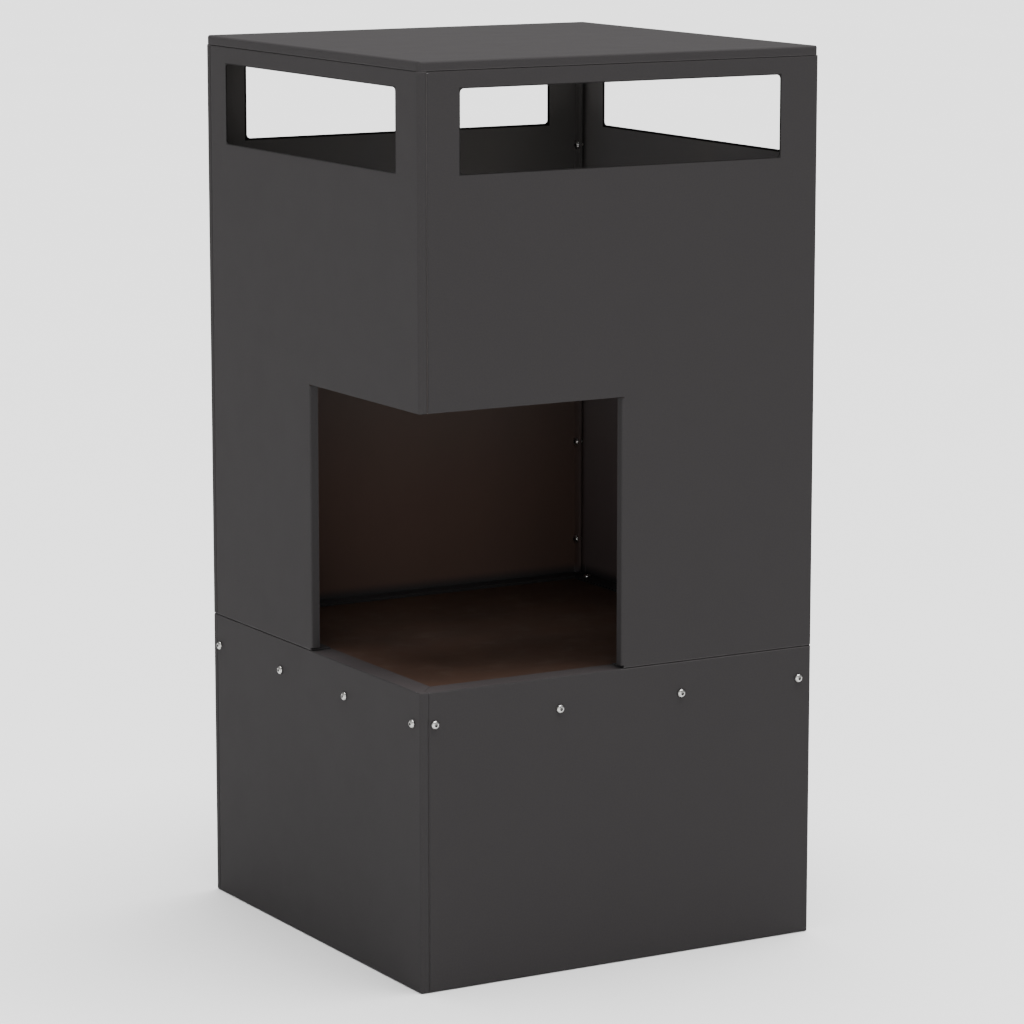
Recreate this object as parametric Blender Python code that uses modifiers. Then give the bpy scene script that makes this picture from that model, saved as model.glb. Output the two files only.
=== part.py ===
"""Corner-opening garden chiminea of folded sheet steel, 400 x 400 x 800 mm.

Metres, +Z up. The origin is on the ground under the middle of the square box. The front
faces -Y, and the fire opening wraps round the front left corner. A lower box of four
panels carries the fire floor, four upper panels stand on it as the flue, and a lid caps
them. Every panel wraps round its right-hand corner as seen from outside, so the four
panels of each box are one design turned by quarter turns about +Z.
"""
import math

import bmesh
import bpy
from mathutils import Matrix, Vector

# Overall size
WIDTH = 0.400
HEIGHT = 0.800
HALF = WIDTH / 2

# Sheet metal
SHEET = 0.001               # panels and lid
FLOOR_SHEET = 0.0015        # fire floor
BEND = 0.0014               # outer radius of a panel's folds
CORNER_BEND = 0.0028        # where a panel wraps round its corner
PAN_BEND = 0.0025           # round the top of the lid and the fire floor
PAN_CORNER = 0.005          # their upright corners
BEND_SEGMENTS = 4
GAP = 0.0003                # clearance between pieces that touch
KERF = 0.00015              # width of a relief cut at the end of a fold
KERF_DEPTH = BEND + 0.0002
FOLD_CLEAR = 0.0018         # height at a panel's end kept free of its upright flanges

# Corner joints
WRAP = 0.008                # how far a panel wraps round its right-hand corner
CORNER_FLANGE = 0.010
RIM_FLANGE = 0.020          # flanges at the top and bottom of the upper panels, and at the base
RIM_START = 0.0040          # the top flange stays this far from the corner that its panel wraps

# Heights
SEAM_Z = 0.2645             # top of the lower box and sill of the fire opening
SILL_DEPTH = 0.0215
LOWER_FLANGE_TOP = 0.240    # the lower box's corner flanges stop here, below the sill
LINTEL_Z = SEAM_Z + 0.240
LID_SKIRT = 0.0082
BODY_TOP = HEIGHT - LID_SKIRT - GAP
FLOOR_SKIRT = 0.041
FLOOR_TOP = SEAM_Z - SHEET - GAP

# Fire opening, half of each front face
JAMB_X = 0.0
JAMB_DEPTH = 0.008
JAMB_TOP_GAP = 0.0013
JAMB_FOOT_GAP = 0.0030
JAMB_FOOT_HEIGHT = 0.0026   # relief under the foot of each jamb

# Vents
VENT_WIDTH = 0.320
VENT_BOTTOM = 0.7043
VENT_TOP = 0.776
VENT_RADIUS = 0.0035

# Screws, M4 x 6 with a domed head
SCREW_RADIUS = 0.002
SCREW_LENGTH = 0.006
HEAD_RADIUS = 0.0038
HEAD_HEIGHT = 0.0024
HOLE_RADIUS = SCREW_RADIUS + GAP
ROUND_SIDES = 12
FACE_SCREW_Z = 0.236
FACE_SCREW_EDGE = 0.014
FACE_SCREWS = 4
CORNER_SCREW_INSET = 0.0055
CORNER_SCREW_PITCH = 0.096
UPPER_SCREW_Z = 0.299
UPPER_SCREWS = 5
LOWER_SCREW_Z = 0.060
LOWER_SCREWS = 2
FLANGE_SCREW_DEPTH = 0.012  # screws and studs through the horizontal flanges
SEAM_SCREW_END = 0.170      # the seam screw of a closed side, beyond the end of the vent above it

# Lid studs and their nuts, M5
STUD_RADIUS = 0.0025
STUD_BOTTOM = 0.784
NUT_WIDTH = 0.008
NUT_HEIGHT = 0.004

# Where things lie on one side, measured from the middle of that side
LEFT_X = -HALF + WRAP + GAP
RIGHT_X = HALF
MITRE_LEFT = GAP
MITRE_RIGHT = GAP / 2

SIDES = ("front", "right", "back", "left")
CORNERS = ("front_left", "front_right", "back_right", "back_left")


COAT = ("anthracite_coat", (0.056, 0.053, 0.054, 1.0), 0.0, 0.62)
HEATED = ("heated_coat", (0.028, 0.025, 0.024, 1.0), 0.0, 0.75)
ZINC = ("zinc_plate", (0.72, 0.72, 0.70, 1.0), 1.0, 0.28)


# ------------------------------------------------------------------ scene helpers

def clear_scene():
    """Remove every object of the open scene."""
    for old in list(bpy.data.objects):
        bpy.data.objects.remove(old, do_unlink=True)


def collection(name):
    """A new collection in the scene."""
    made = bpy.data.collections.new(name)
    bpy.context.scene.collection.children.link(made)
    return made


def material(look):
    """A Principled material from a name, colour, metallic value and roughness."""
    name, colour, metallic, roughness = look
    made = bpy.data.materials.new(name)
    made.use_nodes = True
    shader = made.node_tree.nodes["Principled BSDF"]
    shader.inputs["Base Color"].default_value = colour
    shader.inputs["Metallic"].default_value = metallic
    shader.inputs["Roughness"].default_value = roughness
    made.diffuse_color = colour
    return made


def add_object(name, mesh, look, into):
    """An object with one material, in a collection."""
    obj = bpy.data.objects.new(name, mesh)
    if look is not None and not mesh.materials:
        mesh.materials.append(look)
    into.objects.link(obj)
    return obj


def mesh_from(bm, name):
    """A mesh data block from a bmesh, which is freed."""
    mesh = bpy.data.meshes.new(name)
    bm.to_mesh(mesh)
    bm.free()
    return mesh


# ------------------------------------------------------------------ sheet metal

def folded_sheet(name, leaves, outward, radius_of, thickness, look, into):
    """A sheet folded along every edge that two of its flat leaves share.

    leaves are outlines on the outer skin, outward is the first leaf's outer normal, and
    radius_of gives a fold's outer radius from its middle and whether it stands upright.
    """
    bm = bmesh.new()
    for outline in leaves:
        bm.faces.new([bm.verts.new(point) for point in outline])
    bmesh.ops.remove_doubles(bm, verts=bm.verts, dist=0.00001)
    bmesh.ops.recalc_face_normals(bm, faces=bm.faces)
    bm.faces.ensure_lookup_table()
    bm.normal_update()
    if bm.faces[0].normal.dot(Vector(outward)) < 0:
        bmesh.ops.reverse_faces(bm, faces=bm.faces)
    weight = bm.edges.layers.float.new("bevel_weight_edge")
    radii = {}
    for edge in bm.edges:
        if len(edge.link_faces) == 2:
            ends = [vert.co for vert in edge.verts]
            along = ends[1] - ends[0]
            upright = abs(along.z) > 0.5 * along.length
            radii[edge] = radius_of((ends[0] + ends[1]) / 2, upright)
    widest = max(radii.values())
    for edge, radius in radii.items():
        edge[weight] = radius / widest
    sheet = add_object(name, mesh_from(bm, name), look, into)
    fold = sheet.modifiers.new("folds", "BEVEL")
    fold.limit_method = "WEIGHT"
    fold.width = widest
    fold.segments = BEND_SEGMENTS
    fold.use_clamp_overlap = False
    skin = sheet.modifiers.new("sheet", "SOLIDIFY")
    skin.thickness = thickness
    skin.offset = -1.0
    skin.use_even_offset = True
    skin.use_quality_normals = True
    return sheet


def add_rod(bm, centre, axis, radius, length):
    """Add a closed cylinder about centre to a bmesh."""
    turn = Vector((0, 0, 1)).rotation_difference(Vector(axis)).to_matrix().to_4x4()
    bmesh.ops.create_cone(
        bm, cap_ends=True, segments=ROUND_SIDES, radius1=radius, radius2=radius, depth=length,
        matrix=Matrix.Translation(centre) @ turn)


def add_block(bm, low, high, rounded_along_y=0.0):
    """Add a box between two corners to a bmesh, its edges along Y rounded to a radius."""
    low = Vector(low)
    high = Vector(high)
    scale = Matrix.Diagonal((*(high - low), 1.0))
    made = bmesh.ops.create_cube(bm, size=1.0, matrix=Matrix.Translation((low + high) / 2) @ scale)
    if rounded_along_y:
        edges = {edge for vert in made["verts"] for edge in vert.link_edges}
        along_y = [edge for edge in edges if abs(edge.verts[0].co.y - edge.verts[1].co.y) > 0.001]
        bmesh.ops.bevel(bm, geom=along_y, offset=rounded_along_y, segments=BEND_SEGMENTS,
                        affect="EDGES", profile=0.5)


def cut(piece, bm, cutters, operation="DIFFERENCE"):
    """Cut a bmesh's solids from a piece, or join them to it, in the piece's own frame."""
    name = f"{piece.name}_{'cutter' if operation == 'DIFFERENCE' else 'addition'}"
    cutter = add_object(name, mesh_from(bm, name), None, cutters)
    cutter.parent = piece
    cutter.hide_render = True
    cutter.display_type = "WIRE"
    boolean = piece.modifiers.new(name, "BOOLEAN")
    boolean.operation = operation
    boolean.object = cutter


# ------------------------------------------------------------------ panel outlines
# A panel is drawn as the front one: x runs along it, depth runs in from its outer face.

def at(x, depth, z):
    """A point of the front panel."""
    return (x, depth - HALF, z)


def left_edge(low, high):
    """Edge points (x, z), going up, where the left flange folds between two heights.

    A height of None is a raw edge, which needs no relief cut.
    """
    points = []
    inner = LEFT_X + KERF_DEPTH
    if low["relief"]:
        z = low["z"]
        points += [(LEFT_X, z - KERF), (inner, z - KERF), (inner, z)]
    points += [(LEFT_X, low["z"]), (LEFT_X, high["z"])]
    if high["relief"]:
        z = high["z"]
        points += [(inner, z), (inner, z + KERF), (LEFT_X, z + KERF)]
    return points


def wrap_outline(bottom, top, low, high):
    """Outline (depth, z) of the strip round the right-hand corner, with its return fold."""
    inner = WRAP - KERF_DEPTH
    points = [(0.0, bottom)]
    if low["relief"]:
        z = low["z"]
        points += [(WRAP, bottom), (WRAP, z - KERF), (inner, z - KERF), (inner, z)]
    points += [(WRAP, low["z"]), (WRAP, high["z"]), (inner, high["z"]), (inner, high["z"] + KERF),
               (WRAP, high["z"] + KERF)]
    return points + [(WRAP, top), (0.0, top)]


def rim_outline(depth, x_left, x_right, under_lid=False):
    """Outline (x, depth) of a horizontal flange, mitred at whichever corners it reaches."""
    if x_left > LEFT_X:
        left = [(x_left, depth), (x_left, 0.0)]
    else:
        left = [(-HALF + depth + MITRE_LEFT, depth), (LEFT_X, WRAP), (LEFT_X, 0.0)]
    if x_right < RIGHT_X:
        right = [(x_right, 0.0), (x_right, depth)]
    elif under_lid:
        right = [(HALF - RIM_START, 0.0), (HALF - RIM_START, RIM_START - MITRE_RIGHT),
                 (HALF - depth - MITRE_RIGHT, depth)]
    else:
        right = [(RIGHT_X, 0.0), (RIGHT_X, WRAP), (HALF - WRAP - MITRE_RIGHT, WRAP),
                 (HALF - depth - MITRE_RIGHT, depth)]
    return left + right


def flange_leaf(x, low, high):
    """The left corner flange, which stands in a plane of constant x."""
    return [at(x, 0.0, low), at(x, 0.0, high), at(x, CORNER_FLANGE, high),
            at(x, CORNER_FLANGE, low)]


def return_leaf(low, high):
    """The flange behind the wrapped strip, which stands in a plane of constant depth."""
    tip = RIGHT_X - CORNER_FLANGE
    return [at(RIGHT_X, WRAP, low), at(RIGHT_X, WRAP, high), at(tip, WRAP, high), at(tip, WRAP, low)]


def jamb_leaf(x, low, high):
    """The return along the upright edge of the fire opening."""
    return [at(x, 0.0, low), at(x, 0.0, high), at(x, JAMB_DEPTH, high), at(x, JAMB_DEPTH, low)]


def corner_heights(first, count, lowest=0.0):
    """Heights of the screws up one corner, those above a lowest height."""
    heights = [first + i * CORNER_SCREW_PITCH for i in range(count)]
    return [z for z in heights if z > lowest]


# ------------------------------------------------------------------ panels

def panel_radius(middle, upright):
    """Outer radius of a panel's fold: larger round the corner that the panel wraps."""
    wraps = upright and middle.x > HALF - BEND and middle.y < BEND - HALF
    return CORNER_BEND if wraps else BEND


def add_flange_holes(bm, left_heights, right_heights):
    """Screw holes through a panel's two upright corner flanges."""
    for z in left_heights:
        add_rod(bm, at(LEFT_X + SHEET / 2, CORNER_SCREW_INSET, z), (1, 0, 0), HOLE_RADIUS, 4 * SHEET)
    for z in right_heights:
        centre = at(RIGHT_X - CORNER_SCREW_INSET, WRAP - SHEET / 2, z)
        add_rod(bm, centre, (0, 1, 0), HOLE_RADIUS, 4 * SHEET)


def seam_screw_x(side):
    """Where the screw through the seam flanges lies along a side, clear of the fire opening."""
    return {"front": HALF / 2, "left": -HALF / 2}.get(side, SEAM_SCREW_END)


def lower_panel(side, look, parts, cutters):
    """One side of the lower box, with the sill, the base flange and the corner flanges."""
    low = {"z": FOLD_CLEAR + KERF, "relief": True}
    high = {"z": LOWER_FLANGE_TOP, "relief": True}
    face = [(LEFT_X, 0.0), *left_edge(low, high), (LEFT_X, SEAM_Z), (RIGHT_X, SEAM_Z), (RIGHT_X, 0.0)]
    leaves = [
        [at(x, 0.0, z) for x, z in face],
        [at(RIGHT_X, d, z) for d, z in wrap_outline(0.0, SEAM_Z, low, high)],
        [at(x, d, SEAM_Z) for x, d in rim_outline(SILL_DEPTH, LEFT_X, RIGHT_X)],
        [at(x, d, 0.0) for x, d in rim_outline(RIM_FLANGE, LEFT_X, RIGHT_X)],
        flange_leaf(LEFT_X, low["z"], high["z"]),
        return_leaf(low["z"], high["z"]),
    ]
    panel = folded_sheet(f"lower_panel_{side}", leaves, (0, -1, 0), panel_radius, SHEET, look, parts)
    bm = bmesh.new()
    for x in face_screw_places():
        add_rod(bm, at(x, SHEET / 2, FACE_SCREW_Z), (0, 1, 0), HOLE_RADIUS, 4 * SHEET)
    heights = corner_heights(LOWER_SCREW_Z, LOWER_SCREWS)
    add_flange_holes(bm, heights, heights)
    seam = at(seam_screw_x(side), FLANGE_SCREW_DEPTH, SEAM_Z - SHEET / 2)
    add_rod(bm, seam, (0, 0, 1), HOLE_RADIUS, 4 * SHEET)
    cut(panel, bm, cutters)
    return panel


def upper_panel(side, look, parts, cutters):
    """One side of the flue, with its vent, its flanges and its share of the fire opening."""
    bottom = SEAM_Z + GAP
    top = BODY_TOP
    opens_left = side == "front"
    opens_right = side == "left"
    raw = {"z": LINTEL_Z, "relief": False}
    foot = {"z": bottom + FOLD_CLEAR + KERF, "relief": True}
    high = {"z": top - FOLD_CLEAR - KERF, "relief": True}
    left_low = raw if opens_left else foot
    right_low = raw if opens_right else foot
    jamb_low = bottom + JAMB_FOOT_HEIGHT
    jamb_high = LINTEL_Z - JAMB_TOP_GAP

    def jamb_edge(inward):
        """Edge points (x, z), going up, of the jamb, whose panel lies on the inward side."""
        foot_x = JAMB_X + inward * JAMB_FOOT_GAP
        slot_x = JAMB_X + inward * KERF_DEPTH
        return [(foot_x, bottom), (foot_x, jamb_low), (JAMB_X, jamb_low), (JAMB_X, jamb_high),
                (slot_x, jamb_high), (slot_x, LINTEL_Z)]

    if opens_left:
        rising = jamb_edge(1) + left_edge(left_low, high)
    else:
        rising = [(LEFT_X, bottom)] + left_edge(left_low, high)
    if opens_right:
        falling = [(RIGHT_X, LINTEL_Z)] + jamb_edge(-1)[::-1]
    else:
        falling = [(RIGHT_X, bottom)]
    slot_x = HALF - RIM_START
    crown = [(LEFT_X, top), (slot_x, top), (slot_x, top - KERF_DEPTH),
             (slot_x + KERF, top - KERF_DEPTH), (slot_x + KERF, top), (RIGHT_X, top)]
    wrap_bottom = LINTEL_Z if opens_right else bottom
    rim_left = JAMB_X + JAMB_FOOT_GAP if opens_left else LEFT_X
    rim_right = JAMB_X - JAMB_FOOT_GAP if opens_right else RIGHT_X
    leaves = [
        [at(x, 0.0, z) for x, z in rising + crown + falling],
        [at(RIGHT_X, d, z) for d, z in wrap_outline(wrap_bottom, top, right_low, high)],
        [at(x, d, top) for x, d in rim_outline(RIM_FLANGE, LEFT_X, RIGHT_X, under_lid=True)],
        [at(x, d, bottom) for x, d in rim_outline(RIM_FLANGE, rim_left, rim_right)],
        flange_leaf(LEFT_X, left_low["z"], high["z"]),
        return_leaf(right_low["z"], high["z"]),
    ]
    if opens_left or opens_right:
        leaves.append(jamb_leaf(JAMB_X, jamb_low, jamb_high))
    panel = folded_sheet(f"upper_panel_{side}", leaves, (0, -1, 0), panel_radius, SHEET, look, parts)
    bm = bmesh.new()
    add_block(bm, at(-VENT_WIDTH / 2, -SHEET, VENT_BOTTOM), at(VENT_WIDTH / 2, 2 * SHEET, VENT_TOP),
              VENT_RADIUS)
    left_heights = corner_heights(UPPER_SCREW_Z, UPPER_SCREWS, LINTEL_Z if opens_left else 0.0)
    right_heights = corner_heights(UPPER_SCREW_Z, UPPER_SCREWS, LINTEL_Z if opens_right else 0.0)
    add_flange_holes(bm, left_heights, right_heights)
    seam = at(seam_screw_x(side), FLANGE_SCREW_DEPTH, bottom + SHEET / 2)
    add_rod(bm, seam, (0, 0, 1), HOLE_RADIUS, 4 * SHEET)
    stud = at(0.0, FLANGE_SCREW_DEPTH, top - SHEET / 2)
    add_rod(bm, stud, (0, 0, 1), STUD_RADIUS + GAP, 4 * SHEET)
    cut(panel, bm, cutters)
    return panel


# ------------------------------------------------------------------ lid and fire floor

def pan_radius(_, upright):
    """Outer radius of a fold of the lid or the fire floor."""
    return PAN_CORNER if upright else PAN_BEND


def pan_leaves(half, top, bottom):
    """Leaves of a square pan that is open below: its plate, then its four skirts."""
    square = [(-half, -half), (half, -half), (half, half), (-half, half)]
    leaves = [[(x, y, top) for x, y in square]]
    for (x0, y0), (x1, y1) in zip(square, square[1:] + square[:1]):
        leaves.append([(x0, y0, top), (x1, y1, top), (x1, y1, bottom), (x0, y0, bottom)])
    return leaves


def quarter_turns():
    """The four quarter turns about +Z, in the order of SIDES."""
    return [Matrix.Rotation(i * math.pi / 2, 4, "Z") for i in range(4)]


def lid(look, parts, cutters):
    """The flat lid, with a short skirt and four weld studs on its underside."""
    leaves = pan_leaves(HALF, HEIGHT, HEIGHT - LID_SKIRT)
    pan = folded_sheet("lid", leaves, (0, 0, 1), pan_radius, SHEET, look, parts)
    stud_top = HEIGHT - SHEET / 2
    bm = bmesh.new()
    for turn in quarter_turns():
        centre = turn @ Vector(at(0.0, FLANGE_SCREW_DEPTH, (stud_top + STUD_BOTTOM) / 2))
        add_rod(bm, centre, (0, 0, 1), STUD_RADIUS, stud_top - STUD_BOTTOM)
    cut(pan, bm, cutters, "UNION")
    return pan


def fire_floor(look, parts, cutters):
    """The plate that the fire burns on, with a skirt that the face screws hold."""
    half = HALF - SHEET - GAP
    leaves = pan_leaves(half, FLOOR_TOP, FLOOR_TOP - FLOOR_SKIRT)
    pan = folded_sheet("fire_floor", leaves, (0, 0, 1), pan_radius, FLOOR_SHEET, look, parts)
    corner_clear = CORNER_FLANGE + 2 * GAP
    bm = bmesh.new()
    for side, turn in zip(SIDES, quarter_turns()):
        corner = turn @ Vector((-HALF, -HALF, 0.0))
        inner = corner - Vector((math.copysign(corner_clear, corner.x),
                                 math.copysign(corner_clear, corner.y), 0.0))
        low = (min(corner.x, inner.x), min(corner.y, inner.y), FLOOR_TOP - 2 * FLOOR_SKIRT)
        high = (max(corner.x, inner.x), max(corner.y, inner.y), LOWER_FLANGE_TOP + GAP)
        add_block(bm, low, high)
        axis = turn @ Vector((0, 1, 0))
        for x in face_screw_places():
            centre = turn @ Vector(at(x, SHEET + GAP + FLOOR_SHEET / 2, FACE_SCREW_Z))
            add_rod(bm, centre, axis, HOLE_RADIUS, 3 * FLOOR_SHEET)
        seam = turn @ Vector(at(seam_screw_x(side), FLANGE_SCREW_DEPTH, FLOOR_TOP - FLOOR_SHEET / 2))
        add_rod(bm, seam, (0, 0, 1), HOLE_RADIUS, 3 * FLOOR_SHEET)
    cut(pan, bm, cutters)
    return pan


# ------------------------------------------------------------------ fasteners

def face_screw_places():
    """Where the face screws lie along a side."""
    span = WIDTH - 2 * FACE_SCREW_EDGE
    return [-span / 2 + i * span / (FACE_SCREWS - 1) for i in range(FACE_SCREWS)]


def screw_profile(look):
    """Half outline of a domed screw, from the top of its axis down its outer side."""
    outline = [(0.0, HEAD_HEIGHT), (0.6 * HEAD_RADIUS, 0.85 * HEAD_HEIGHT),
               (HEAD_RADIUS, 0.3 * HEAD_HEIGHT), (HEAD_RADIUS, 0.0), (SCREW_RADIUS, 0.0),
               (SCREW_RADIUS, -SCREW_LENGTH), (0.0, -SCREW_LENGTH)]
    mesh = bpy.data.meshes.new("domed_screw_profile")
    mesh.from_pydata([(r, 0.0, z) for r, z in outline],
                     [(i, i + 1) for i in range(len(outline) - 1)], [])
    mesh.materials.append(look)
    return mesh


def place_screw(name, profile, side, seat, outward, parts):
    """A screw on one side, its head seated at a point and facing outward, as on the front."""
    screw = add_object(name, profile, None, parts)
    turned = screw.modifiers.new("turned", "SCREW")
    turned.steps = ROUND_SIDES
    turned.render_steps = ROUND_SIDES
    turned.use_merge_vertices = True
    turned.merge_threshold = 0.00001
    turn = Matrix.Rotation(SIDES.index(side) * math.pi / 2, 4, "Z")
    stand = Vector((0, 0, 1)).rotation_difference(Vector(outward)).to_matrix().to_4x4()
    clear = Vector(outward) * GAP
    screw.matrix_world = turn @ Matrix.Translation(Vector(seat) + clear) @ stand
    return screw


def face_screws(profile, parts):
    """The row of screws round the lower box, through its panels into the fire floor."""
    for side in SIDES:
        for i, x in enumerate(face_screw_places(), start=1):
            seat = at(x, 0.0, FACE_SCREW_Z)
            place_screw(f"face_screw_{side}_{i}", profile, side, seat, (0, -1, 0), parts)


def corner_screws(profile, parts):
    """The screws inside the corners, from each left flange into its neighbour's return."""
    seat_x = LEFT_X + SHEET
    for side, corner in zip(SIDES, CORNERS):
        lowest = LINTEL_Z if side == "front" else 0.0
        rows = {"upper": corner_heights(UPPER_SCREW_Z, UPPER_SCREWS, lowest),
                "lower": corner_heights(LOWER_SCREW_Z, LOWER_SCREWS)}
        for box, heights in rows.items():
            for i, z in enumerate(heights, start=1):
                seat = at(seat_x, CORNER_SCREW_INSET, z)
                name = f"{box}_corner_screw_{corner}_{i}"
                place_screw(name, profile, side, seat, (1, 0, 0), parts)


def seam_screws(profile, parts):
    """One screw a side, down through the flanges where the flue stands on the lower box."""
    for side in SIDES:
        seat = at(seam_screw_x(side), FLANGE_SCREW_DEPTH, SEAM_Z + GAP + SHEET)
        place_screw(f"seam_screw_{side}", profile, side, seat, (0, 0, 1), parts)


def lid_nuts(look, parts, cutters):
    """The hexagon nuts that hold the lid's studs under the top flanges."""
    across_corners = NUT_WIDTH / math.cos(math.pi / 6)
    nut_top = BODY_TOP - SHEET - GAP
    for side, turn in zip(SIDES, quarter_turns()):
        bm = bmesh.new()
        bmesh.ops.create_cone(bm, cap_ends=True, segments=6, radius1=across_corners / 2,
                              radius2=across_corners / 2, depth=NUT_HEIGHT)
        nut = add_object(f"lid_nut_{side}", mesh_from(bm, f"lid_nut_{side}"), look, parts)
        nut.location = turn @ Vector(at(0.0, FLANGE_SCREW_DEPTH, nut_top - NUT_HEIGHT / 2))
        bore = bmesh.new()
        add_rod(bore, (0, 0, 0), (0, 0, 1), STUD_RADIUS + GAP, 2 * NUT_HEIGHT)
        cut(nut, bore, cutters)


def build():
    """Model the whole chiminea."""
    clear_scene()
    parts = collection("chiminea")
    cutters = collection("cutters")
    coat = material(COAT)
    heated = material(HEATED)
    zinc = material(ZINC)
    for i, side in enumerate(SIDES):
        lower_panel(side, coat, parts, cutters).rotation_euler.z = i * math.pi / 2
        upper_panel(side, coat, parts, cutters).rotation_euler.z = i * math.pi / 2
    fire_floor(heated, parts, cutters)
    lid(coat, parts, cutters)
    profile = screw_profile(zinc)
    face_screws(profile, parts)
    corner_screws(profile, parts)
    seam_screws(profile, parts)
    lid_nuts(zinc, parts, cutters)


build()
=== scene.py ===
"""Looks of the corner-opening garden chiminea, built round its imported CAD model.

Metres, +Z up, in the frame's own axes: the front faces -Y, the left side faces -X, and the
fire opening wraps round the corner between them.
"""
import math

import bmesh
import bpy
from mathutils import Matrix, Quaternion, Vector


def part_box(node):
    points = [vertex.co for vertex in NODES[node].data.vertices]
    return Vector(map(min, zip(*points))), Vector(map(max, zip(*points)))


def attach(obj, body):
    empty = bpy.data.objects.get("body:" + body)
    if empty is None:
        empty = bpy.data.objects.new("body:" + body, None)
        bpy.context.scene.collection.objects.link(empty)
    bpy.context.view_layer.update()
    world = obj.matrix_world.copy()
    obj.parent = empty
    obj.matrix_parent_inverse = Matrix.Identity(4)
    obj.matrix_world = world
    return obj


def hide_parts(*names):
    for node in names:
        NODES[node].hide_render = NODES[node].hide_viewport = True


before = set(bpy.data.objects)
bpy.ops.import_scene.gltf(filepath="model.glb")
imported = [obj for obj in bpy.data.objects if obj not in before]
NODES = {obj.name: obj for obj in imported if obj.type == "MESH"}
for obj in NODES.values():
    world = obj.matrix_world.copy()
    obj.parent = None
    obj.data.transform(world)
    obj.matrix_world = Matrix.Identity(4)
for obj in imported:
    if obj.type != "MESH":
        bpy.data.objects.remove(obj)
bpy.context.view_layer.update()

# The box, from the frame
LID_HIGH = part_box("lid")[1]
HALF = LID_HIGH.x
HEIGHT = LID_HIGH.z
SEAM_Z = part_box("lower_panel_back")[1].z    # top of the lower box and sill of the fire opening
SKIRT_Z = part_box("upper_panel_back")[1].z   # top of the upper panels, under the lid's skirt

# The box's details
MOUTH_TALL = 0.240
MOUTH_TOP = SEAM_Z + MOUTH_TALL
SHEET = 0.001
JOINT = 0.0003              # gap between the two boxes
JAMB_DEPTH = 0.008
WRAP = 0.008                # how far a panel wraps round its right-hand corner
PANEL_CORNER = 0.0028       # outer radius of a panel's upright fold
LID_CORNER = 0.005          # of the lid's upright corners
LID_BEND = 0.0025           # round the top of the lid
VENT_HALF = 0.160
VENT_LOW = 0.7043
VENT_HIGH = 0.776
RAW_EDGE = 0.00008          # rounding of a sheet's cut edges
WELD_REACH = 0.000005

# Where the marks on the coat, its wear and its painted light and shade alike, begin and are full,
# and for a band then end and are gone
FOLD_MARK = (HALF - 0.0032, HALF - 0.0006)          # out from the middle of a side
BESIDE_JOINT = (0.0015, 0.0007)                     # up or down from the joint
FACE_OF_JOINT = (HALF - 0.0018, HALF - 0.0012)      # out from the middle of the box
SKIRT_BAND = (SKIRT_Z - 0.0012, SKIRT_Z - 0.0005, SKIRT_Z + 0.0006, SKIRT_Z + 0.0010)
SEAM_BAND = (WRAP - 0.0003, WRAP - 0.0001, WRAP + 0.0012, WRAP + 0.0017)
SEAM_DEPTH = (0.0004, 0.0009)
SILL_BAND = (SEAM_Z - 0.0022, SEAM_Z - 0.0012, SEAM_Z + 0.0006, SEAM_Z + 0.0012)
SILL_DEPTH = (0.0008, 0.0016)
INNER_SKIN = (0.55 * SHEET, 0.85 * SHEET)           # in from the outer surface
OVER_FLOOR = (SEAM_Z + 0.0012, SEAM_Z + 0.012)
OPEN_CORNER = (0.0, -0.001)                         # to the left of and in front of the middle
JAMB_SIDE = (JAMB_DEPTH + 0.0005 - HALF, JAMB_DEPTH - 0.0005 - HALF)    # in from an open side
JAMB_MIDDLE = (0.0016, 0.0012)                      # out from the middle of a side
JAMB_END = (MOUTH_TOP + 0.0005, MOUTH_TOP - 0.0005)
NEAR_FIRE = (MOUTH_TOP + 0.16, SEAM_Z + 0.05)
DIAGONAL = (-0.010, 0.010)                          # across the line between two corners
THICK_RIM = (0.0024, 0.0016)                        # out from the edge of a vent
THIN_RIM = (0.0012, 0.0006)

# Colours, linear
ANTHRACITE = (0.0260, 0.0242, 0.0247, 1.0)
ANTHRACITE_PALE = (0.0290, 0.0270, 0.0275, 1.0)
SCUFFED = (0.050, 0.048, 0.048, 1.0)
# Painted light for the joint between the boxes, lightening the shade in it
JOINT_LIGHT = (0.0400, 0.0375, 0.0380, 1.0)
JOINT_LIGHT_PALE = (0.0500, 0.0470, 0.0475, 1.0)
# Painted light in the gap under the lid's skirt, lightening its shade
SKIRT_GAP_LIGHT = (0.0420, 0.0392, 0.0398, 1.0)
# Painted light for the seams at the upright corners, lightening their shade
UPPER_SEAM_LIGHT = (0.043, 0.0400, 0.0405, 1.0)
LOWER_SEAM_LIGHT = (0.067, 0.0625, 0.0630, 1.0)
# Painted light for the sills of the fire opening
SILL_LIGHT = (0.0375, 0.0325, 0.0330, 1.0)
HEAT_PALED = (0.102, 0.097, 0.097, 1.0)
HEAT_PALED_WARM = (0.110, 0.103, 0.098, 1.0)
# Painted shade round the vents' rims, darker inside than outside
RIM_SHADE_INSIDE = (0.0040, 0.0036, 0.0034, 1.0)
RIM_SHADE_OUTSIDE = (0.0085, 0.0078, 0.0078, 1.0)
# Black, toward which the tone darkens the coat inside: painted shade on the flue's walls
NO_COLOUR = (0.0, 0.0, 0.0, 1.0)
# Brown soot, its brown also painted firelight
SOOT_AND_FIRELIGHT = (0.0655, 0.0420, 0.0345, 1.0)
SOOT_AND_FIRELIGHT_BROWN = (0.0775, 0.0485, 0.0390, 1.0)
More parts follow.
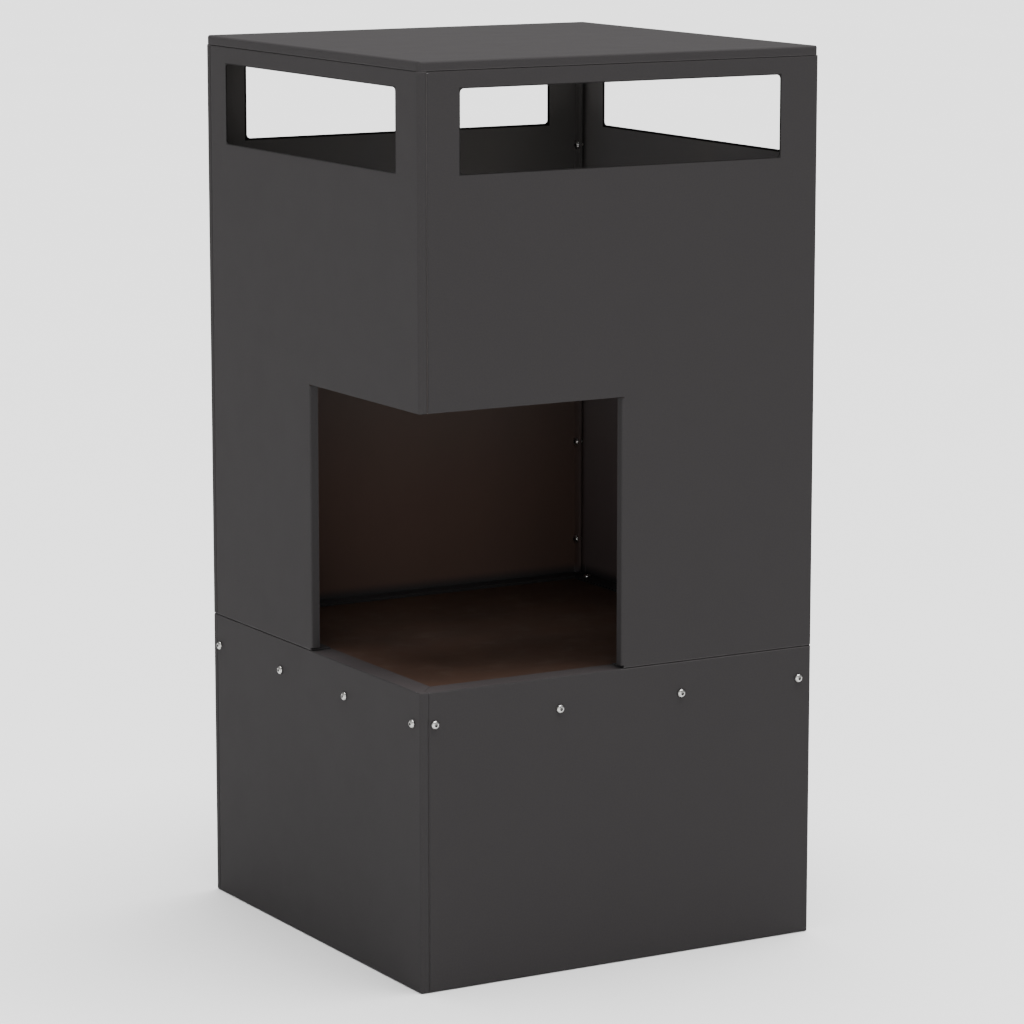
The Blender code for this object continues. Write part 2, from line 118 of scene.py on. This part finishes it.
# Painted light: paler grey for the right and front walls inside, as where more light falls
SOOT_GREY_PAINTED_LIGHT = (0.0860, 0.0660, 0.0640, 1.0)
BURNT = (0.0270, 0.0125, 0.0070, 1.0)
BURNT_BROWN = (0.0380, 0.0180, 0.0105, 1.0)
ASH = (0.110, 0.092, 0.080, 1.0)
ZINC = (0.44, 0.44, 0.43, 1.0)
ZINC_WARM = (0.40, 0.39, 0.365, 1.0)
# Painted shade for the recess of a screw's socket
ZINC_SOCKET_SHADE = (0.10, 0.097, 0.094, 1.0)
STUDIO_FLOOR = (0.80, 0.80, 0.80, 1.0)
STUDIO_FLOOR_DULL = (0.79, 0.79, 0.79, 1.0)


# ------------------------------------------------------------------ node helpers

class Shader:
    """A material whose nodes are added one by one in the order that they are used."""

    def __init__(self, name):
        self.material = bpy.data.materials.new(name)
        self.material.use_nodes = True
        self.tree = self.material.node_tree
        self.surface = self.tree.nodes["Principled BSDF"]
        self.place = self.tree.nodes.new("ShaderNodeTexCoord").outputs["Object"]

    def add(self, kind, inputs=None, **settings):
        """A node with its settings; each input takes a value or another node's output."""
        node = self.tree.nodes.new(kind)
        for key, value in settings.items():
            setattr(node, key, value)
        for key, value in (inputs or {}).items():
            self.feed(node.inputs[key], value)
        return node

    def feed(self, socket, value):
        """Link an output to a socket, or set the socket's value."""
        if isinstance(value, bpy.types.NodeSocket):
            self.tree.links.new(value, socket)
        else:
            socket.default_value = value

    def noise(self, scale, detail=2.0, rough=0.5, stretch=None):
        """Fractal noise, 0 to 1, with features about 1 / scale metres wide."""
        place = self.place
        if stretch is not None:
            place = self.add("ShaderNodeMapping", {"Vector": place, "Scale": stretch}).outputs[0]
        return self.add("ShaderNodeTexNoise", {
            "Vector": place, "Scale": scale, "Detail": detail, "Roughness": rough}).outputs["Fac"]

    def cells(self, scale):
        """Distance to the nearest of a scatter of points, in units of their spacing."""
        return self.add("ShaderNodeTexVoronoi", {"Vector": self.place, "Scale": scale}
                        ).outputs["Distance"]

    def ramp(self, value, low, high, to_low=0.0, to_high=1.0):
        """A value remapped smoothly from one range to another, held at both ends."""
        return self.add("ShaderNodeMapRange", {
            "Value": value, "From Min": low, "From Max": high, "To Min": to_low,
            "To Max": to_high}, interpolation_type="SMOOTHSTEP").outputs["Result"]

    def band(self, value, begins, full, ends, gone):
        """1 where a value lies between full and ends, and 0 outside begins and gone."""
        return self.times(self.ramp(value, begins, full), self.ramp(value, gone, ends))

    def math(self, operation, *values):
        """Values combined in order by one operation that takes one or two at a time."""
        total = values[0]
        for value in values[1:] or (0.0,):
            total = self.add("ShaderNodeMath", {0: total, 1: value}, operation=operation).outputs[0]
        return total

    def times(self, *values):
        """The product of some values."""
        return self.math("MULTIPLY", *values)

    def minus(self, a, b):
        """The difference of two values."""
        return self.math("SUBTRACT", a, b)

    def length(self, a, b):
        """The length of a line with these two components."""
        return self.math("SQRT", self.math("ADD", self.times(a, a), self.times(b, b)))

    def beyond(self, value, limit):
        """How far a value is past a limit, or 0."""
        return self.math("MAXIMUM", self.minus(value, limit), 0.0)

    def mix(self, share, a, b):
        """A colour between a and b, by the sockets that a mix node has for colours."""
        node = self.add("ShaderNodeMix", {0: share, 6: a, 7: b}, data_type="RGBA")
        return node.outputs[2]

    def axes(self):
        """The x, y and z of the point."""
        return self.add("ShaderNodeSeparateXYZ", {"Vector": self.place}).outputs

    def bump(self, height, depth, under=None):
        """A normal bent by a height field, depth metres tall, on top of another bump."""
        inputs = {"Height": height, "Distance": depth, "Strength": 1.0}
        if under is not None:
            inputs["Normal"] = under
        return self.add("ShaderNodeBump", inputs).outputs["Normal"]

    def finish(self, colour, roughness, normal, **constants):
        """Wire up the Principled surface; the constants are set on its own sockets."""
        self.feed(self.surface.inputs["Base Color"], colour)
        self.feed(self.surface.inputs["Roughness"], roughness)
        self.feed(self.surface.inputs["Normal"], normal)
        for name, value in constants.items():
            self.surface.inputs[name.replace("_", " ")].default_value = value
        return self.material


class Place:
    """Where on the box a point is, as shader values."""

    def __init__(self, s, corner_radius):
        self.x, self.y, self.z = s.axes()
        x, y = s.math("ABSOLUTE", self.x), s.math("ABSOLUTE", self.y)
        self.out = s.math("MAXIMUM", x, y)      # from the middle of the box
        self.along = s.math("MINIMUM", x, y)    # from the middle of a side
        self.open_corner = s.ramp(s.math("MAXIMUM", self.x, self.y), *OPEN_CORNER)
        self.right_and_front = s.ramp(s.minus(self.x, self.y), *DIAGONAL)
        # The depth under the box's outer surface, whose edges are rounded
        in_plan = s.length(s.beyond(x, HALF - corner_radius), s.beyond(y, HALF - corner_radius))
        side = s.beyond(s.math("ADD", in_plan, LID_BEND), corner_radius)
        self.depth = s.minus(LID_BEND, s.length(side, s.beyond(self.z, HEIGHT - LID_BEND)))


# ------------------------------------------------------------------ the coat

def joint_painted_light(s, at, colour):
    """Painted light: the coat painted paler in the joint of the boxes, where two folds face each
    other, to lighten the shade in that groove.
    """
    beside = s.math("ABSOLUTE", s.minus(at.z, SEAM_Z + 0.5 * JOINT))
    # The sills face nothing, so there the joint counts as far away
    beside = s.math("ADD", beside, at.open_corner)
    joint = s.times(s.ramp(beside, *BESIDE_JOINT), s.ramp(at.out, *FACE_OF_JOINT))
    return s.mix(joint, colour, s.mix(s.noise(55, 3.0, 0.6), JOINT_LIGHT, JOINT_LIGHT_PALE))


def seams_painted_light(s, at, colour):
    """Painted light down in the seams, where a panel wraps round the corner and meets the next: the
    coat there is painted paler to lighten their shade.
    """
    seam = s.times(s.band(s.minus(HALF, at.along), *SEAM_BAND), s.ramp(at.depth, *SEAM_DEPTH))
    in_seam = s.mix(s.ramp(at.z, SEAM_Z + 0.25, SEAM_Z), UPPER_SEAM_LIGHT, LOWER_SEAM_LIGHT)
    return s.mix(seam, colour, in_seam)


def sills_painted_light(s, at, colour):
    """The sills of the fire opening, painted paler and warmer: painted light that lifts the shade
    they lie in under the lintel.
    """
    sill = s.times(s.band(at.z, *SILL_BAND), s.ramp(at.depth, *SILL_DEPTH), at.open_corner)
    return s.mix(sill, colour, SILL_LIGHT)


def outer_colour(s, at, scuff):
    """The coat's own anthracite and its scuffs, with painted light in its joints, seams and sills
    and under the lid's skirt.
    """
    speckle = s.noise(700, 1.0, 0.5)
    cloud = s.noise(7, 3.0, 0.55)
    colour = s.mix(s.ramp(speckle, 0.30, 0.72), ANTHRACITE, ANTHRACITE_PALE)
    colour = s.mix(s.ramp(cloud, 0.35, 0.68, 0.0, 0.15), colour, ANTHRACITE_PALE)
    colour = s.mix(s.times(scuff, 0.14), colour, SCUFFED)
    # Painted light in the joint between the boxes
    colour = joint_painted_light(s, at, colour)
    # Painted light under the lid's skirt, to lighten the shade in the gap there
    colour = s.mix(s.band(at.z, *SKIRT_BAND), colour, SKIRT_GAP_LIGHT)
    # Painted light down the seams at the corners
    colour = seams_painted_light(s, at, colour)
    # Painted light on the sills of the fire opening
    return sills_painted_light(s, at, colour)


def wall_painted_shade(s, at):
    """Painted shade on the flue's walls: darkest in its back left corner, and dimmer again at the
    far ends of the two walls that meet there. The other two walls have the full tone."""
    from_middle = s.math("ADD", at.x, s.beyond(HALF - 2 * SHEET, at.y))
    tone = s.minus(s.ramp(from_middle, -HALF, 0.02, 0.42, 0.96),
                   s.ramp(from_middle, 0.08, 0.19, 0.0, 0.34))
    return s.math("MAXIMUM", tone, at.right_and_front)


def lid_tone(s, at):
    """The tone under the lid: dimmer toward its edges."""
    return s.ramp(at.out, 0.10, 0.19, 0.90, 0.60)


def inner_colour(s, at, tone):
    """The coat facing the fire: brown soot round the fire, whose brown is also painted firelight,
    and paled by heat above it.
    """
    licks = s.noise(6, 4.0, 0.55, (1.0, 1.0, 0.30))
    # Soot round the fire, with painted firelight in its brown
    sooty_and_firelit = s.mix(s.ramp(licks, 0.30, 0.72), SOOT_AND_FIRELIGHT, SOOT_AND_FIRELIGHT_BROWN)
    # Painted light: the right and front walls inside painted paler and greyer, as where more light
    # falls
    sooty_and_firelit = s.mix(at.right_and_front, sooty_and_firelit, SOOT_GREY_PAINTED_LIGHT)
    paled = s.mix(s.ramp(licks, 0.35, 0.65), HEAT_PALED, HEAT_PALED_WARM)
    # The tone darkens the heat-paled coat toward black: on the flue's walls that is painted shade
    paled = s.mix(tone, NO_COLOUR, paled)
    return s.mix(s.ramp(at.z, *NEAR_FIRE), paled, sooty_and_firelit)


def facing_fire(s, at):
    """1 on the skin that faces the fire, from the fire floor up."""
    # The returns along the two jambs stay as clean as the outside
    jamb = s.times(s.ramp(at.along, *JAMB_MIDDLE), s.ramp(at.z, *JAMB_END),
                   s.ramp(s.math("MINIMUM", at.x, at.y), *JAMB_SIDE))
    return s.times(s.ramp(at.depth, *INNER_SKIN), s.ramp(at.z, *OVER_FLOOR), s.minus(1.0, jamb))


def past_vent(s, at):
    """How far past the edge of its side's vent a point is."""
    return s.math("MAXIMUM", s.minus(at.along, VENT_HALF), s.minus(VENT_LOW, at.z),
                  s.minus(at.z, VENT_HIGH))


def powder_coat(name, corner_radius, inner_tone):
    """Fine-textured matt powder coat: clean outside, browned and sooty round the fire, with painted
    light and shade in its joints, seams, sills, vent rims and flue.
    """
    s = Shader(name)
    at = Place(s, corner_radius)
    grain = s.noise(1500, 2.0, 0.6)
    handling = s.noise(38, 4.0, 0.6)
    # Scuffs where hands and straps rub the upright folds
    scuff = s.times(s.ramp(at.along, *FOLD_MARK), s.ramp(s.noise(160, 4.0, 0.7), 0.56, 0.70))

    # Painted shade round the rims of the vents, a dark outline for the shade at their cut edges:
    # darker and wider inside, fainter and thinner outside
    rim = past_vent(s, at)
    outer = s.mix(s.ramp(rim, *THIN_RIM), outer_colour(s, at, scuff), RIM_SHADE_OUTSIDE)
    inner = s.mix(s.ramp(rim, *THICK_RIM), inner_colour(s, at, inner_tone(s, at)), RIM_SHADE_INSIDE)
    inside = facing_fire(s, at)
    colour = s.mix(inside, outer, inner)

    matt = s.ramp(handling, 0.30, 0.75, 0.72, 0.76)
    matt = s.math("ADD", matt, s.ramp(grain, 0.3, 0.7, -0.04, 0.04))
    matt = s.minus(matt, s.times(scuff, 0.12))
    roughness = s.math("ADD", matt, s.times(inside, 0.18))

    peel = s.bump(s.noise(240, 1.0, 0.5), 0.000012)
    normal = s.bump(grain, 0.000030, peel)
    return s.finish(colour, roughness, normal, Metallic=0.0, IOR=1.30,
                    Specular_IOR_Level=0.20)


# ------------------------------------------------------------------ the other finishes

def heated_plate():
    """The fire floor: the same coat, dulled and browned, with soot and a little ash."""
    s = Shader("coat_browned_by_fire")
    x, y, _ = s.axes()
    out = s.math("MAXIMUM", s.math("ABSOLUTE", x), s.math("ABSOLUTE", y))
    blotch = s.noise(11, 5.0, 0.6)
    streak = s.noise(34, 5.0, 0.65)
    fine = s.noise(900, 2.0, 0.6)
    base = s.mix(s.ramp(blotch, 0.30, 0.72), BURNT, BURNT_BROWN)
    base = s.mix(s.ramp(streak, 0.50, 0.74, 0.0, 0.12), base, ASH)
    # Flakes of ash lie in patches, round the middle
    flakes = s.times(s.ramp(s.cells(420), 0.20, 0.10),
                     s.ramp(s.noise(18, 3.0, 0.5), 0.50, 0.64), s.ramp(out, 0.185, 0.120))
    colour = s.mix(s.times(flakes, 0.4), base, ASH)
    roughness = s.ramp(blotch, 0.30, 0.70, 0.72, 0.90)
    normal = s.bump(fine, 0.000035)
    normal = s.bump(flakes, 0.000080, normal)
    return s.finish(colour, roughness, normal, Metallic=0.0, IOR=1.45,
                    Specular_IOR_Level=0.25)


def zinc_plate():
    """Bright zinc plate, faintly clouded, with painted shade down in a screw's socket."""
    s = Shader("zinc_bright")
    colour = s.mix(s.ramp(s.noise(420, 3.0, 0.6), 0.40, 0.70), ZINC, ZINC_WARM)
    x, y, z = s.axes()
    # Painted shade: the socket's recess painted dark
    socket_shade = s.times(s.ramp(s.length(x, y), 0.00160, 0.00142), s.ramp(z, 0.0003, 0.0006))
    colour = s.mix(socket_shade, colour, ZINC_SOCKET_SHADE)
    roughness = s.ramp(s.noise(900, 3.0, 0.6), 0.30, 0.72, 0.20, 0.36)
    normal = s.bump(s.noise(5200, 2.0, 0.6), 0.000006)
    return s.finish(colour, roughness, normal, Metallic=1.0)


def studio_floor():
    """Pale matt floor with the faintest unevenness."""
    s = Shader("studio_floor")
    colour = s.mix(s.ramp(s.noise(1.3, 3.0, 0.5), 0.3, 0.7), STUDIO_FLOOR, STUDIO_FLOOR_DULL)
    roughness = s.ramp(s.noise(6, 2.0, 0.5), 0.3, 0.7, 0.85, 0.92)
    normal = s.bump(s.noise(60, 2.0, 0.5), 0.00002)
    return s.finish(colour, roughness, normal, Specular_IOR_Level=0.1)


# ------------------------------------------------------------------ carried-over sheet metal

def soften(obj):
    """Round a sheet's raw cut edges a little and shade its folds as smooth bends."""
    obj.data.shade_smooth()
    weld = obj.modifiers.new("weld", "WELD")
    weld.merge_threshold = WELD_REACH
    edge = obj.modifiers.new("raw_edges", "BEVEL")
    edge.limit_method = "ANGLE"
    edge.angle_limit = math.radians(50)
    edge.width = RAW_EDGE
    edge.segments = 2
    edge.use_clamp_overlap = False
    even = obj.modifiers.new("even_shading", "WEIGHTED_NORMAL")
    even.mode = "FACE_AREA"
    even.weight = 50
    even.keep_sharp = False


def dress_sheets(looks, otherwise):
    """Give the panels, lid and fire floor their finishes."""
    for name, obj in NODES.items():
        if "screw" in name or "nut" in name:
            continue
        obj.material_slots[0].material = looks.get(name, otherwise)
        soften(obj)


# ------------------------------------------------------------------ fasteners
# Rings of points run round the +Z axis, and each is joined to the next.

ROUND = 24                  # points in a ring
TURN = math.tau / ROUND

# Button head screw, M4
SCREW_HEAD = 0.0038
SCREW_DOME = 0.0024         # height of the head
SCREW_LAND = 0.00185        # radius of the flat round the socket
SCREW_RIM = 0.00033         # height of the head's upright rim
DOME_STEPS = 7
SCREW_SHANK = 0.0020
SCREW_ROOT = 0.00164
SCREW_END = 0.0060
SCREW_PITCH = 0.0007
LEAD_IN = 0.00035           # length of the chamfer at the end
LEAD_IN_TIP = 0.00132       # radius of the end
SOCKET = 0.00125            # half the width of the hexagon socket
SOCKET_MOUTH = 0.00154      # radius of the chamfer round it
SOCKET_EDGE = 0.00228       # height at which that chamfer ends
SOCKET_FLOOR = 0.00105
SOCKET_TIP = 0.00065        # lowest point of the drilled cone in its floor
# The foot of the head and the fillet under it, each point a radius and a height
SCREW_NECK = ((SCREW_HEAD, 0.00010), (SCREW_HEAD - 0.00008, 0.0), (0.00222, 0.0),
              (0.00190, -0.00008), (SCREW_ROOT, -0.00030))
# The thread's root, and the start and end of its crest, each a radius and a share of the pitch
THREAD = ((SCREW_ROOT, 0.0), (SCREW_SHANK, 0.38), (SCREW_SHANK, 0.56))
SOCKET_TURN = 0.7           # turn of each socket from the last, in radians

# Hexagon nut, M5
NUT_HALF = 0.0040
NUT_TALL = 0.0040
NUT_BORE = 0.0028
NUT_CHAMFER = 0.0004
NUT_FACE = 0.95 * NUT_HALF  # radius of the flat top


def ring(bm, radius, height):
    """A ring of points; the radius and the height may depend on the point's angle."""
    points = []
    for i in range(ROUND):
        angle = i * TURN
        r = radius(angle) if callable(radius) else radius
        z = height(angle) if callable(height) else height
        points.append(bm.verts.new((r * math.cos(angle), r * math.sin(angle), z)))
    return points


def join(bm, rings):
    """Faces between each ring and the next."""
    for upper, lower in zip(rings, rings[1:]):
        for i in range(ROUND):
            j = (i + 1) % ROUND
            bm.faces.new((upper[i], upper[j], lower[j], lower[i]))


def cap(bm, points, height):
    """A shallow cone that closes a ring."""
    tip = bm.verts.new((0.0, 0.0, height))
    for i in range(ROUND):
        bm.faces.new((points[i], points[(i + 1) % ROUND], tip))


def hexagon(half):
    """A hexagon's radius at an angle, from half its width across flats."""
    return lambda angle: half / math.cos((angle % (math.pi / 3)) - math.pi / 6)


def finished(bm, name, look, crease):
    """A mesh with its faces outward, smooth but for the edges over so many degrees."""
    bmesh.ops.recalc_face_normals(bm, faces=bm.faces)
    for face in bm.faces:
        face.smooth = True
    for edge in bm.edges:
        if len(edge.link_faces) == 2 and edge.calc_face_angle() > math.radians(crease):
            edge.smooth = False
    mesh = bpy.data.meshes.new(name)
    bm.to_mesh(mesh)
    bm.free()
    mesh.materials.append(look)
    return mesh


def thread(bm, neck, end):
    """A screw thread wound down from a neck ring to an end ring, closed at both."""
    top = neck[0].co.z - 0.2 * SCREW_PITCH
    steps = ROUND * int((top - end[0].co.z) / SCREW_PITCH - 1.1)

    def point(step, radius, share):
        """A point of the winding, a share of the pitch below its root."""
        z = top - SCREW_PITCH * (step / ROUND + share)
        return bm.verts.new((radius * math.cos(step * TURN), radius * math.sin(step * TURN), z))

    winding = []
    for step in range(steps + 1):
        # The crest rises out of the root and falls back to it in a third of a turn
        fade = min(1.0, 3 * step / ROUND, 3 * (steps - step) / ROUND)
        winding.append([point(step, SCREW_ROOT + (radius - SCREW_ROOT) * fade, share)
                        for radius, share in THREAD])
    root = [points[0] for points in winding]
    root += [point(step, SCREW_ROOT, 0.0) for step in range(steps + 1, steps + ROUND + 1)]
    for i in range(steps):
        upper = winding[i] + [root[i + ROUND]]
        lower = winding[i + 1] + [root[i + 1 + ROUND]]
        for k in range(3):
            bm.faces.new((upper[k], lower[k], lower[k + 1], upper[k + 1]))
    for i in range(ROUND - 1):
        bm.faces.new((neck[i], neck[i + 1], root[i + 1], root[i]))
        bm.faces.new((root[steps + i + 1], root[steps + i + 2], end[(i + 2) % ROUND], end[i + 1]))
    # The faces beside the steps where the winding begins and ends
    bm.faces.new((neck[-1], neck[0], *winding[0], root[ROUND], root[ROUND - 1]))
    bm.faces.new((end[0], end[1], root[steps + 1], *winding[-1], root[-1]))


def dome():
    """The head's outline from the socket to the rim: an elliptical arc below a flat."""
    land = math.asin(SCREW_LAND / SCREW_HEAD)
    rise = (SCREW_DOME - SCREW_RIM) / math.cos(land)
    outline = [(SOCKET_MOUTH, SCREW_DOME)]
    for step in range(DOME_STEPS + 1):
        turn = land + (math.pi / 2 - land) * step / DOME_STEPS
        outline.append((SCREW_HEAD * math.sin(turn), SCREW_RIM + rise * math.cos(turn)))
    return outline


def screw_mesh(look):
    """A button head screw with a hexagon socket, its seat at the origin, its head upward."""
    bm = bmesh.new()
    socket = [ring(bm, hexagon(SOCKET), SOCKET_FLOOR), ring(bm, hexagon(SOCKET), SOCKET_EDGE)]
    cap(bm, socket[0], SOCKET_TIP)
    head = [ring(bm, radius, height) for radius, height in [*dome(), *SCREW_NECK]]
    tip = [ring(bm, SCREW_ROOT, LEAD_IN - SCREW_END), ring(bm, LEAD_IN_TIP, -SCREW_END)]
    join(bm, socket + head)
    join(bm, tip)
    cap(bm, tip[1], -SCREW_END)
    thread(bm, head[-1], tip[0])
    return finished(bm, "socket_head_screw", look, 35)


def nut_mesh(look):
    """A hexagon nut, chamfered above and below, centred on the origin."""
    bm = bmesh.new()
    half = NUT_TALL / 2
    corner = hexagon(NUT_HALF)

    def shoulder(angle):
        """How high the cone of the chamfer leaves the side of the nut."""
        return half - (corner(angle) - NUT_FACE) * math.tan(math.radians(30))

    rings = [ring(bm, NUT_BORE, half - NUT_CHAMFER), ring(bm, NUT_BORE + NUT_CHAMFER, half),
             ring(bm, NUT_FACE, half), ring(bm, corner, shoulder),
             ring(bm, corner, lambda angle: -shoulder(angle)), ring(bm, NUT_FACE, -half),
             ring(bm, NUT_BORE + NUT_CHAMFER, -half), ring(bm, NUT_BORE, NUT_CHAMFER - half)]
    join(bm, rings + rings[:1])
    return finished(bm, "hexagon_nut", look, 20)


def stand_in(name, mesh, place, turn, node):
    """A detailed fastener in place of a CAD one."""
    piece = bpy.data.objects.new(name, mesh)
    piece.matrix_world = Matrix.Translation(place) @ turn.to_matrix().to_4x4()
    bpy.context.scene.collection.objects.link(piece)
    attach(piece, "root")
    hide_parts(node)


def head_way(node, centre, axis):
    """Which way along its axis a CAD screw's head points, 1 or -1."""
    on_head = []
    for vert in node.data.vertices:
        offset = vert.co - centre
        height = offset[axis]
        offset[axis] = 0.0
        if offset.length > 0.8 * SCREW_HEAD:
            on_head.append(height)
    return 1 if sum(on_head) > 0 else -1


def add_fasteners(look):
    """Detailed screws and nuts where the CAD has plain ones."""
    screw = screw_mesh(look)
    nut = nut_mesh(look)
    upward = Vector((0, 0, 1))
    for count, (name, node) in enumerate(sorted(NODES.items())):
        low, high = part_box(name)
        centre, size = (low + high) / 2, high - low
        if "nut" in name:
            turn = Quaternion(upward, 0.0 if size.x > size.y else math.pi / 2)
            stand_in(f"{name}_chamfered", nut, centre, turn, name)
        elif "screw" in name:
            axis = max(range(3), key=lambda i: size[i])
            way = head_way(node, centre, axis)
            outward = Vector((0, 0, 0))
            outward[axis] = way
            top = high if way > 0 else low
            seat = centre.copy()
            seat[axis] = top[axis] - way * SCREW_DOME
            turn = upward.rotation_difference(outward) @ Quaternion(upward, SOCKET_TURN * count)
            stand_in(f"{name}_socket_head", screw, seat, turn, name)


# ------------------------------------------------------------------ floor, light and camera

FLOOR_HALF = 30.0
FLOOR_DROP = 0.0004         # how far the floor lies below the object, so that the two don't meet
MIDDLE = (0.0, 0.0, 0.42)
CAMERA_AT = (-1.8672, -3.23825, 1.04099)
CAMERA_YAW = 30.0419
CAMERA_PITCH = 10.1353      # looking down
LENS = 146.854


def add_floor(look):
    """A wide pale floor at the object's base."""
    bm = bmesh.new()
    bmesh.ops.create_grid(bm, x_segments=8, y_segments=8, size=FLOOR_HALF)
    mesh = bpy.data.meshes.new("studio_floor")
    bm.to_mesh(mesh)
    bm.free()
    mesh.materials.append(look)
    floor = bpy.data.objects.new("studio_floor", mesh)
    floor.location.z = -FLOOR_DROP
    bpy.context.scene.collection.objects.link(floor)


def softbox(name, place, size, watts):
    """A square area light at a place, turned to the middle of the object."""
    data = bpy.data.lights.new(name, "AREA")
    data.shape = "SQUARE"
    data.size = size
    data.energy = watts
    light = bpy.data.objects.new(name, data)
    light.location = place
    light.rotation_euler = (Vector(MIDDLE) - Vector(place)).to_track_quat("-Z", "Y").to_euler()
    bpy.context.scene.collection.objects.link(light)


def light_studio():
    """Even soft light: a broad sun overhead, pale surroundings, a key and a fill."""
    world = bpy.data.worlds.new("studio")
    world.use_nodes = True
    sky = world.node_tree.nodes["Background"]
    sky.inputs["Color"].default_value = (1.0, 1.0, 1.0, 1.0)
    sky.inputs["Strength"].default_value = 0.40
    bpy.context.scene.world = world
    sun = bpy.data.lights.new("overhead", "SUN")
    sun.energy = 8.3
    sun.angle = math.radians(56)
    overhead = bpy.data.objects.new("overhead", sun)
    overhead.rotation_euler = (0.0, math.radians(8), 0.0)
    bpy.context.scene.collection.objects.link(overhead)
    softbox("key", place=(-1.75, -3.05, 1.30), size=2.0, watts=40)
    softbox("left_fill", place=(-3.60, -0.45, 1.40), size=1.6, watts=13)


def add_camera():
    """The camera, a long lens looking down a little at the open corner."""
    data = bpy.data.cameras.new("camera")
    data.sensor_width = 36.0
    data.lens = LENS
    camera = bpy.data.objects.new("camera", data)
    camera.location = CAMERA_AT
    tilt = math.pi / 2 - math.radians(CAMERA_PITCH)
    camera.rotation_euler = (tilt, 0.0, -math.radians(CAMERA_YAW))
    bpy.context.scene.collection.objects.link(camera)
    bpy.context.scene.camera = camera


coat = powder_coat("coat_fine_texture", PANEL_CORNER, wall_painted_shade)
lid_coat = powder_coat("coat_fine_texture_lid", LID_CORNER, lid_tone)
heated = heated_plate()
zinc = zinc_plate()
dress_sheets({"fire_floor": heated, "lid": lid_coat}, coat)
add_fasteners(zinc)
add_floor(studio_floor())
light_studio()
add_camera()
